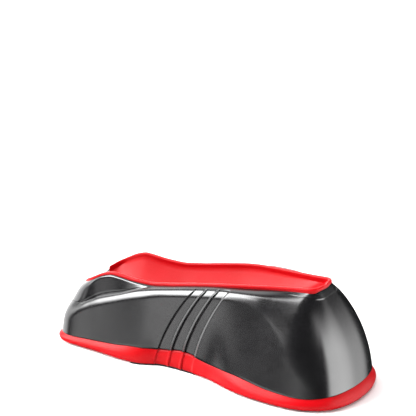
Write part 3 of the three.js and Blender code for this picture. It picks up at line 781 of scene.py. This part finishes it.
def rim_path():
    """Plan of the rim's near half, as functions of the growth to (x, y, keel x)."""
    zone_end = CRADLE_REAR + REAR_ZONE
    xs = np.concatenate([
        np.linspace(CRADLE_REAR, zone_end, REAR_ZONE_SECTIONS, endpoint=False),
        np.linspace(zone_end, CORNER_X, SIDE_SECTIONS, endpoint=False),
    ])
    path = []
    for x in xs:
        half = cradle_half(x) - rear_taper(x)
        path.append(lambda growth, x=x, half=half: (x, -(half + growth), x))
    core = cradle_half(CORNER_X) - CRADLE_CORNER
    for turn in np.linspace(0, math.pi / 2, CORNER_SECTIONS):
        path.append(lambda growth, turn=turn: (
            CORNER_X + (CRADLE_CORNER + growth) * math.sin(turn),
            -(core + (CRADLE_CORNER + growth) * math.cos(turn)),
            CORNER_X,
        ))
    for share in np.linspace(1, 0, FRONT_SECTIONS)[1:]:
        path.append(lambda growth, share=share: (CRADLE_FRONT + growth, -core * share, CORNER_X))
    return path


def cradle_height(x, y, growth):
    """Height of the cradle's outside (growth 0) or inside (growth -thickness) over a plan point."""
    radius = CRADLE_CORNER + growth
    turn = np.arcsin(np.clip((x - CORNER_X) / radius, 0, 1))
    half = cradle_half(np.minimum(x, CORNER_X)) + growth - rear_taper(x)
    half = half - radius * (1 - np.cos(turn)) * (x > CORNER_X)
    return trough_height(x, np.clip(np.abs(y) / half, 0, 1), growth)


def tyre_room_height(x, y):
    """Underside of the room for the tyre over the front rim, and far above it elsewhere."""
    tube = TYRE_TUBE + TYRE_ROOM
    under = (np.abs(y) < tube) & (x > TYRE_ROOM_START)
    from_axle = TYRE_RADIUS - TYRE_TUBE + np.sqrt(np.maximum(tube ** 2 - y ** 2, 0))
    drop = np.sqrt(np.maximum(from_axle ** 2 - (x + AXLE_SETBACK) ** 2, 0))
    return np.where(under, AXLE_HEIGHT - drop, FAR_ABOVE)


def cradle_side(place, growth):
    """Points of the cradle's outside or inside, from the keel up to the rim's rounding."""
    rim_x, rim_y, keel_x = place(growth)
    shares = np.linspace(0, 1, KEEL_POINTS)
    x = keel_x + (rim_x - keel_x) * shares
    bow = rear_bow(x, shares)
    x = x + bow
    heights = cradle_height(x, rim_y * shares, growth)
    floor = np.stack([x, rim_y * shares, heights], -1)
    top = rim_top(rim_x + bow[-1]) - LIP_ROUND
    rise = np.linspace(heights[-1], top, SIDE_POINTS + 1)[1:]
    side = np.stack([np.full(SIDE_POINTS, x[-1]), np.full(SIDE_POINTS, rim_y), rise], -1)
    return np.concatenate([floor, side])


def cradle_lip(place):
    """Points over the rounded rim, from the outside to the inside."""
    outer_x, outer_y, _ = place(0.0)
    inner_x, inner_y, _ = place(-CRADLE_THICKNESS)
    bow = rear_bow(outer_x, 1.0)
    top = rim_top(outer_x + bow)
    rising = [
        (LIP_ROUND * (1 - math.cos(turn)), -LIP_ROUND * (1 - math.sin(turn)))
        for turn in np.linspace(0, math.pi / 2, LIP_POINTS)[1:]
    ]
    falling = [(CRADLE_THICKNESS - across, down) for across, down in rising[:0:-1]]
    lip = []
    for across, down in rising + falling:
        t = across / CRADLE_THICKNESS
        lip.append((mix(outer_x, inner_x, t) + bow, mix(outer_y, inner_y, t), top + down))
    return np.array(lip)


def cradle_section(place):
    """Half section at one place of the rim: outside, lip and inside, cut down for the tyre."""
    outside = cradle_side(place, 0.0)
    inside = cradle_side(place, -CRADLE_THICKNESS)
    points = np.concatenate([outside, cradle_lip(place), inside[::-1]])
    rim = slice(len(outside) - SIDE_POINTS, None)
    room = np.maximum(tyre_room_height(points[rim, 0], points[rim, 1]), 0)
    points[rim, 2] = np.minimum(points[rim, 2], room)
    return points


def make_cradle():
    sections = np.array([cradle_section(place) for place in rim_path()])
    count = sections.shape[1]
    near = sections.reshape(-1, 3)
    faces = []
    for r in range(len(sections) - 1):
        for i in range(count - 1):
            a, b = r * count + i, (r + 1) * count + i
            faces.append((a, b, b + 1, a + 1))
    for a in range(count // 2):
        b = count - 1 - a
        if b - 1 > a + 1:
            faces.append((a, a + 1, b - 1, b))
        elif b - 1 == a + 1:
            faces.append((a, a + 1, b))
    faces += [tuple(i + len(near) for i in face[::-1]) for face in faces]
    both = np.concatenate([near, near * (1, -1, 1)])
    cradle = weld(mesh_object("cradle_skin", both, faces), CRADLE_WELD)
    studs = [
        cylinder("stud", STUD_DIAMETER, z, z + STUD_LENGTH + CRADLE_THICKNESS / 2, x, 0)
        for x, z in STUDS
    ]
    combine(cradle, studs, "UNION")
    pilots = [
        cylinder("pilot", PILOT_DIAMETER, z - OVERRUN / 2, z + STUD_LENGTH, x, 0)
        for x, z in STUDS
    ]
    return combine(cradle, pilots, "DIFFERENCE")


# Band

def flare_end(col):
    """Inset of the band's widest line, which lies outside the wall."""
    return np.minimum(wall_inset(col, FLARE_HEIGHT), FLARE_INSET) - col["flare"]


def tuck(col):
    """How far the band's lower edge is drawn in under its flare."""
    return UNDERCUT * col["flare"] / BAND_FLARE


def band_edge(inset, rise):
    return lambda col: (flare_end(col) + tuck(col) + inset, FOOT_HEIGHT + rise)


def band_foot(col):
    return flare_end(col) + tuck(col) * UNDERCUT_SHARE, FOOT_HEIGHT + FOOT_ROUND


def band_swell(col):
    return flare_end(col) + SWELL[0], FLARE_HEIGHT + SWELL[1]


def band_knee(col, t):
    """The round turn from the band's foot to its widest line."""
    return bezier(band_foot(col), (flare_end(col), FLARE_HEIGHT - KNEE_DROP), band_swell(col), t)


def band_face(col, t):
    """The concave face from the widest line up to the wall."""
    top = col["band"] - BAND_SHOULDER
    middle = (flare_end(col), (top + FLARE_HEIGHT) / 2)
    return bezier(band_swell(col), middle, (wall_inset(col, top), top), t)


def foot_seat(name):
    """Room for a foot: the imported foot, grown by a clearance on all sides."""
    seat = packed_copy("seat", name)
    bm = bmesh.new()
    bm.from_mesh(seat.data)
    bm.normal_update()
    for vert in bm.verts:
        vert.co = vert.co + vert.normal * FOOT_SEAT_GROWTH * MM
    bm.to_mesh(seat.data)
    bm.free()
    return seat


def make_band():
    def rim(col):
        return col["band"]

    levels = [
        (band_edge(*FOOT_EDGE[0]), FOOT_FLUTE_SHARE),
        (band_edge(*FOOT_EDGE[1]), 1),
        (band_foot, 1),
    ]
    for t in np.linspace(0, 1, BAND_KNEE_STEPS + 1)[1:]:
        levels.append((lambda col, t=t: band_knee(col, t), 1))
    for t in np.linspace(0, 1, BAND_FACE_STEPS + 1)[1:]:
        levels.append((lambda col, t=t: band_face(col, t), 1))
    levels += [(on_wall(rim, *edge), 1) for edge in BAND_TOP_EDGE]
    levels += [
        (on_wall(rim, BAND_THICKNESS), 0),
        (on_wall(lambda col: FLANGE_TOP, BAND_THICKNESS), 0),
        (lambda col: (FLANGE_WIDTH, FLANGE_TOP), 0),
        (lambda col: (FLANGE_WIDTH, FOOT_HEIGHT), 0),
    ]
    band = column_skin("band_skin", SKIN_WAYS, levels, looped=True)
    head_top = FOOT_HEIGHT + SCREW_HEAD_HEIGHT + GAP
    holes = []
    for x, y in BAND_SCREWS:
        holes.append(cylinder("hole", SCREW_DIAMETER + HOLE_ROOM, 0, FLANGE_TOP + GAP, x, y))
        holes.append(cylinder("hole", SCREW_HEAD_DIAMETER + HOLE_ROOM, 0, head_top, x, y))
    seats = [foot_seat(name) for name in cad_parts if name.startswith("foot_")]
    return combine(band, holes + seats, "DIFFERENCE")


# Materials

# Noise scales are per metre, and the others are shares of a material's grain scale
BLOTCH_SCALE = 22
BLOTCH_STOPS = (0.35, 0.65)
SPECK_SCALE_SHARE = 0.6
SPECK_STOPS = (0.42, 0.66)
SPECK_STRENGTH = 0.35
WORN_EDGES = (0.53, 0.62)
NOISE_SPAN = (0.3, 0.7)
GLOSS_SCALE = 66
GLOSS_GRAIN = 0.03
GLOSS_GRAIN_SCALE_SHARE = 0.4
WAVE_SCALE = 110
DENT_DEPTH = 0.00012


def calculator(tree):
    """A function that adds a math node to a node tree and gives its output."""
    def calculate(operation, *values):
        node = tree.nodes.new("ShaderNodeMath")
        node.operation = operation
        for socket, value in zip(node.inputs, values):
            if isinstance(value, (int, float)):
                socket.default_value = value
            else:
                tree.links.new(value, socket)
        return node.outputs[0]
    return calculate


def map_range(tree, value, limits, results, kind="LINEAR"):
    node = tree.nodes.new("ShaderNodeMapRange")
    node.interpolation_type = kind
    node.inputs["From Min"].default_value, node.inputs["From Max"].default_value = limits
    node.inputs["To Min"].default_value, node.inputs["To Max"].default_value = results
    tree.links.new(value, node.inputs["Value"])
    return node.outputs["Result"]


def material(name, colours, roughness, waves, bump, grain_scale=1500, wear=None, metal=0.0,
             specular=0.5):
    """Plastic, rubber or metal whose colour and gloss vary over two scales, with a fine grain.

    colours are the two of the blotches and the one of the specks; waves is the share of broad
    waves in the bump; wear is the colour of rubbed edges and its strength.
    """
    mat = bpy.data.materials.new(name)
    mat.use_nodes = True
    tree = mat.node_tree
    nodes, links = tree.nodes, tree.links
    calculate = calculator(tree)
    shader = nodes["Principled BSDF"]
    shader.inputs["Metallic"].default_value = metal
    shader.inputs["Specular IOR Level"].default_value = specular
    where = nodes.new("ShaderNodeTexCoord")

    def noise(scale, detail, rough=0.55):
        node = nodes.new("ShaderNodeTexNoise")
        node.inputs["Scale"].default_value = scale
        node.inputs["Detail"].default_value = detail
        node.inputs["Roughness"].default_value = rough
        links.new(where.outputs["Object"], node.inputs["Vector"])
        return node.outputs["Fac"]

    def ramp(factor, stops, ends):
        node = nodes.new("ShaderNodeValToRGB")
        for element, position, colour in zip(node.color_ramp.elements, stops, ends):
            element.position = position
            element.color = (*colour, 1)
        links.new(factor, node.inputs["Fac"])
        return node.outputs["Color"]

    def blend(factor, under, over):
        """The colour over the one under it; 6, 7 and 2 are the node's colour sockets."""
        node = nodes.new("ShaderNodeMix")
        node.data_type = "RGBA"
        links.new(factor, node.inputs["Factor"])
        links.new(under, node.inputs[6])
        node.inputs[7].default_value = (*over, 1)
        return node.outputs[2]

    colour = ramp(noise(BLOTCH_SCALE, 4), BLOTCH_STOPS, colours[:2])
    specks = ramp(noise(grain_scale * SPECK_SCALE_SHARE, 3), SPECK_STOPS, ((0, 0, 0), (1, 1, 1)))
    colour = blend(calculate("MULTIPLY", specks, SPECK_STRENGTH), colour, colours[2])
    if wear:
        rubbed, strength = wear
        geometry = nodes.new("ShaderNodeNewGeometry")
        edges = map_range(tree, geometry.outputs["Pointiness"], WORN_EDGES, (0, strength))
        colour = blend(edges, colour, rubbed)
    links.new(colour, shader.inputs["Base Color"])

    broad = map_range(tree, noise(GLOSS_SCALE, 5), NOISE_SPAN, roughness)
    grain = noise(grain_scale * GLOSS_GRAIN_SCALE_SHARE, 2)
    fine = map_range(tree, grain, NOISE_SPAN, (-GLOSS_GRAIN, GLOSS_GRAIN))
    links.new(calculate("ADD", broad, fine), shader.inputs["Roughness"])

    height = calculate(
        "MULTIPLY_ADD", noise(WAVE_SCALE, 2), waves, noise(grain_scale, 3, 0.6))
    dents = nodes.new("ShaderNodeBump")
    dents.inputs["Strength"].default_value = bump
    dents.inputs["Distance"].default_value = DENT_DEPTH
    links.new(height, dents.inputs["Height"])
    links.new(dents.outputs["Normal"], shader.inputs["Normal"])
    return mat


GREY = material(
    "grey_moulded", ((0.003, 0.003, 0.0033), (0.005, 0.005, 0.0055), (0.009, 0.009, 0.0098)),
    roughness=(0.19, 0.24), waves=0.5, bump=0.05, wear=((0.05, 0.05, 0.052), 0.35), specular=1.0)
RED = material(
    "red_moulded", ((0.35, 0.0005, 0.002), (0.39, 0.001, 0.004), (0.44, 0.004, 0.008)),
    roughness=(0.32, 0.40), waves=0.4, bump=0.10, wear=((0.70, 0.08, 0.09), 0.3), specular=0.14)
PLAIN = material(
    "frame_moulded", ((0.018, 0.018, 0.019), (0.026, 0.026, 0.027), (0.034, 0.034, 0.035)),
    roughness=(0.5, 0.6), waves=0.8, bump=0.35, grain_scale=900)
RUBBER = material(
    "foot_rubber", ((0.010, 0.010, 0.010), (0.016, 0.016, 0.016), (0.028, 0.028, 0.028)),
    roughness=(0.75, 0.9), waves=0.6, bump=0.5, grain_scale=1100, specular=0.3)
ZINC = material(
    "zinc", ((0.50, 0.51, 0.53), (0.60, 0.61, 0.62), (0.66, 0.65, 0.60)),
    roughness=(0.24, 0.36), waves=0.3, bump=0.12, grain_scale=2200, metal=1.0)


def dress(obj, mat):
    obj.data.materials.clear()
    obj.data.materials.append(mat)


# Assembly

for obj, mat, node, slot in (
    (make_casing(), GREY, "outer_casing", "grey_plastic"),
    (make_cradle(), RED, "wheel_cradle", "red_plastic"),
    (make_band(), RED, "base_band", "red_plastic"),
    (make_frame(), PLAIN, "support_frame", "frame_plastic"),
):
    shade(obj)
    dress(obj, mat)
    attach(obj, "root")
    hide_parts(node)

for name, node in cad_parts.items():
    if name.startswith("foot_"):
        dress(node, RUBBER)
    elif "screw" in name:
        dress(node, ZINC)


# Floor

FLOOR_HALF = 9000
FLOOR_CORNERS = ((-1, -1, 0), (1, -1, 0), (1, 1, 0), (-1, 1, 0))
FLOOR_COLOUR = (0.93, 0.93, 0.93, 1)
FLOOR_ROUGHNESS = 0.9

floor = mesh_object("floor", np.array(FLOOR_CORNERS) * FLOOR_HALF, [(0, 1, 2, 3)])
floor_mat = bpy.data.materials.new("pale_floor")
floor_mat.use_nodes = True
floor_shader = floor_mat.node_tree.nodes["Principled BSDF"]
floor_shader.inputs["Base Color"].default_value = FLOOR_COLOUR
floor_shader.inputs["Roughness"].default_value = FLOOR_ROUGHNESS
dress(floor, floor_mat)
floor.visible_glossy = False


# Studio light: soft-edged panels all round, in degrees. Azimuth 0 faces the near side and grows
# towards the domed end. The tilt is how much a panel rises for each degree of azimuth.
Panel = namedtuple("Panel", "azimuth soft_sides elevation soft_ends tilt radiance")
PANELS = [
    Panel((68, 126), (9, 16), (-34, 26), (8, 12), tilt=0, radiance=3.0),
    Panel((66, 157), (9, 10), (-34, 26), (8, 14), tilt=-0.45, radiance=2.1),
    Panel((-95, -34), (15, 8), (18, 65), (9, 9), tilt=-0.4, radiance=15.0),
    Panel((-45, 18), (6, 22), (-30, -12.5), (8, 5), tilt=0, radiance=1.7),
    Panel((-150, -62), (14, 8), (-26, 16), (8, 8), tilt=0, radiance=2.7),
    Panel((-176, -118), (6, 16), (4, 50), (14, 14), tilt=0, radiance=1.3),
]
FILL = 0.022

# A lamp over the block, in metres and watts, which only lights: it isn't seen or reflected
LAMP_SIZE = (2.6, 2.2)
LAMP_PLACE = (0.1, -0.2, 2.0)
LAMP_POWER = 45


def studio(panels, fill):
    """World whose light depends only on the direction: a dim fill and the panels."""
    world = bpy.data.worlds.new("studio")
    world.use_nodes = True
    tree = world.node_tree
    nodes, links = tree.nodes, tree.links
    calculate = calculator(tree)

    def edge(value, middle, soft, results):
        limits = (middle - soft, middle + soft)
        return map_range(tree, value, limits, results, "SMOOTHSTEP")

    def inside(value, limits, softs):
        rising = edge(value, limits[0], softs[0], (0, 1))
        falling = edge(value, limits[1], softs[1], (1, 0))
        return calculate("MULTIPLY", rising, falling)

    where = nodes.new("ShaderNodeTexCoord")
    axes = nodes.new("ShaderNodeSeparateXYZ")
    links.new(where.outputs["Generated"], axes.inputs[0])
    turn = 180 / math.pi
    to_near = calculate("MULTIPLY", axes.outputs["Y"], -1)
    azimuth = calculate("MULTIPLY", calculate("ARCTAN2", axes.outputs["X"], to_near), turn)
    elevation = calculate("MULTIPLY", calculate("ARCSINE", axes.outputs["Z"]), turn)
    total = fill
    for panel in panels:
        from_middle = calculate("SUBTRACT", azimuth, sum(panel.azimuth) / 2)
        height = calculate("SUBTRACT", elevation, calculate("MULTIPLY", from_middle, panel.tilt))
        across = inside(azimuth, panel.azimuth, panel.soft_sides)
        up = inside(height, panel.elevation, panel.soft_ends)
        light = calculate("MULTIPLY", calculate("MULTIPLY", across, up), panel.radiance)
        total = calculate("ADD", light, total)
    links.new(total, nodes["Background"].inputs["Strength"])
    nodes["Background"].inputs["Color"].default_value = (1, 1, 1, 1)
    bpy.context.scene.world = world


studio(PANELS, FILL)

lamp = bpy.data.lights.new("ceiling", "AREA")
lamp.shape = "RECTANGLE"
lamp.size, lamp.size_y = LAMP_SIZE
lamp.energy = LAMP_POWER
ceiling = linked(bpy.data.objects.new("ceiling", lamp))
ceiling.location = LAMP_PLACE
ceiling.visible_glossy = False
ceiling.visible_camera = False


# Camera, from the ellipse of the wheel in the photograph

SENSOR_WIDTH = 36
FOCAL_LENGTH_PIXELS = 1753
PICTURE_WIDTH_PIXELS = 416
CAMERA_PLACE = (0.818, -1.3313, 0.7394)
CAMERA_AIM = (-0.4946, 0.7959, -0.3491)

camera = bpy.data.cameras.new("camera")
camera.sensor_width = SENSOR_WIDTH
camera.lens = FOCAL_LENGTH_PIXELS / PICTURE_WIDTH_PIXELS * SENSOR_WIDTH
view = linked(bpy.data.objects.new("camera", camera))
view.location = CAMERA_PLACE
view.rotation_euler = Vector(CAMERA_AIM).to_track_quat("-Z", "Y").to_euler()
bpy.context.scene.camera = view
bpy.context.scene.view_settings.view_transform = "Standard"
